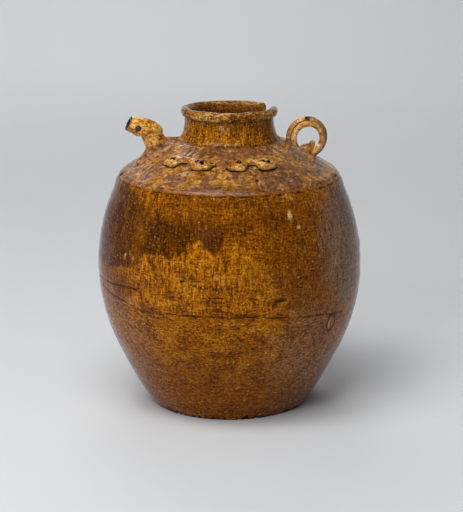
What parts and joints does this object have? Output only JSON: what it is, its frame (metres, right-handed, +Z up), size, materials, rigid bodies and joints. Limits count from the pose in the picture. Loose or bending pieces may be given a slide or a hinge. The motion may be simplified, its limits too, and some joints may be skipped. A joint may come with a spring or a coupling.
{
  "type": "glazed stoneware storage jar",
  "caption": "Round-shouldered glazed stoneware jar with a short neck, an animal-head pouring spout, a ring handle and applied scroll lugs.",
  "frame": {"origin": "on the axis of the jar, on the flat that the foot stands on", "axes": "+Z up the jar's axis; +X to the ring handle's side; -Y towards the front, with the spout at -X"},
  "size_m": [0.29, 0.29, 0.33],
  "materials": {
    "bare_clay": "matt unglazed stoneware",
    "body_glaze": "glossy runny amber and brown glaze",
    "shoulder_glaze": "glossy mottled brown glaze",
    "neck_glaze": "glossy golden brown glaze, worn on the lip",
    "spout_glaze": "glossy yellow-orange glaze",
    "ring_glaze": "glossy yellow-brown glaze",
    "eye_glaze": "glossy dark glaze"
  },
  "bodies": {
    "root": {"base_disc": "bare_clay", "lower_wall": "body_glaze", "upper_wall": "body_glaze", "shoulder": "shoulder_glaze", "neck": "neck_glaze", "lip": "neck_glaze", "spout_neck": "spout_glaze", "spout_head": "spout_glaze", "spout_eye_near": "eye_glaze", "spout_eye_far": "eye_glaze", "ring_front_strand": "ring_glaze", "ring_back_strand": "ring_glaze", "ring_wad": "ring_glaze", "scroll_lug_front_left": "shoulder_glaze", "scroll_lug_front_right": "shoulder_glaze", "scroll_lug_back_left": "shoulder_glaze", "scroll_lug_back_right": "shoulder_glaze"}
  },
  "joints": []
}
